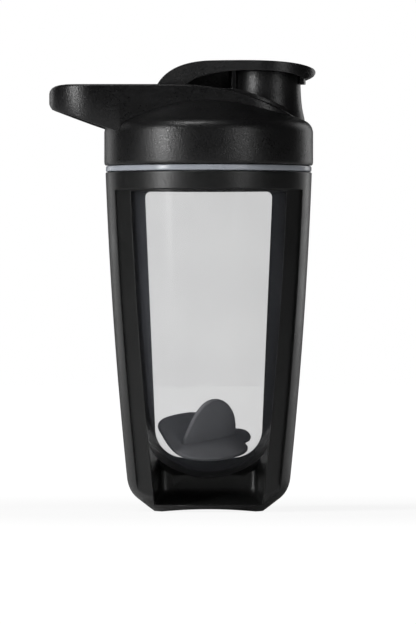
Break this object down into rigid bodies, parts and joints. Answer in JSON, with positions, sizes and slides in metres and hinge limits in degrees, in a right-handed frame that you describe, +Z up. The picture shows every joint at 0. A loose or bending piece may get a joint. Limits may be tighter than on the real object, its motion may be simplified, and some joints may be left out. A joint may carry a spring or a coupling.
{
  "type": "protein shaker bottle",
  "caption": "Shaker bottle: clear cup in a black grip sleeve, screw lid with spout, flip cap and carry loop, and a loose mixing paddle inside.",
  "frame": {"origin": "centre of the base, on the surface the bottle stands on", "axes": "+Z up the bottle's axis, +X towards the spout, -X towards the carry loop, -Y out of the wide front opening"},
  "size_m": [0.1311, 0.103, 0.2215],
  "materials": {
    "black_plastic": "fine-grained satin",
    "sleeve_plastic": "satin",
    "clear_plastic": "clear with a faint smoke tint",
    "paddle_plastic": "satin",
    "silicone": "matt",
    "steel": "brushed"
  },
  "bodies": {
    "bottle": {"outer_sleeve": "sleeve_plastic", "clear_cup": "clear_plastic"},
    "lid_seal": {"lid_gasket": "silicone"},
    "lid": {"lid_shell": "black_plastic", "carry_loop": "black_plastic", "hinge_pin": "steel"},
    "cap": {"flip_cap": "black_plastic", "spout_plug": "silicone"},
    "paddle": {"mixing_paddle": "paddle_plastic"}
  },
  "joints": [
    {"name": "lid_rise", "type": "slide", "parent": "bottle", "child": "lid_seal", "axis": [0, 0, 1], "range_m": [0, 0.0091]},
    {"name": "lid_turn", "type": "hinge", "parent": "lid_seal", "child": "lid", "pos_m": [0, 0, 0.18], "axis": [0, 0, 1], "range_deg": [0, 360]},
    {"name": "cap_hinge", "type": "hinge", "parent": "lid", "child": "cap", "pos_m": [-0.0205, 0, 0.209], "axis": [0, -1, 0], "range_deg": [0, 130]},
    {"name": "paddle_lift", "type": "slide", "parent": "bottle", "child": "paddle", "axis": [0, 0, 1], "range_m": [0, 0.12]}
  ],
  "couplings": [
    {"joint": "lid_rise", "follows": "lid_turn", "m_per_rad": 0.0014324}
  ]
}
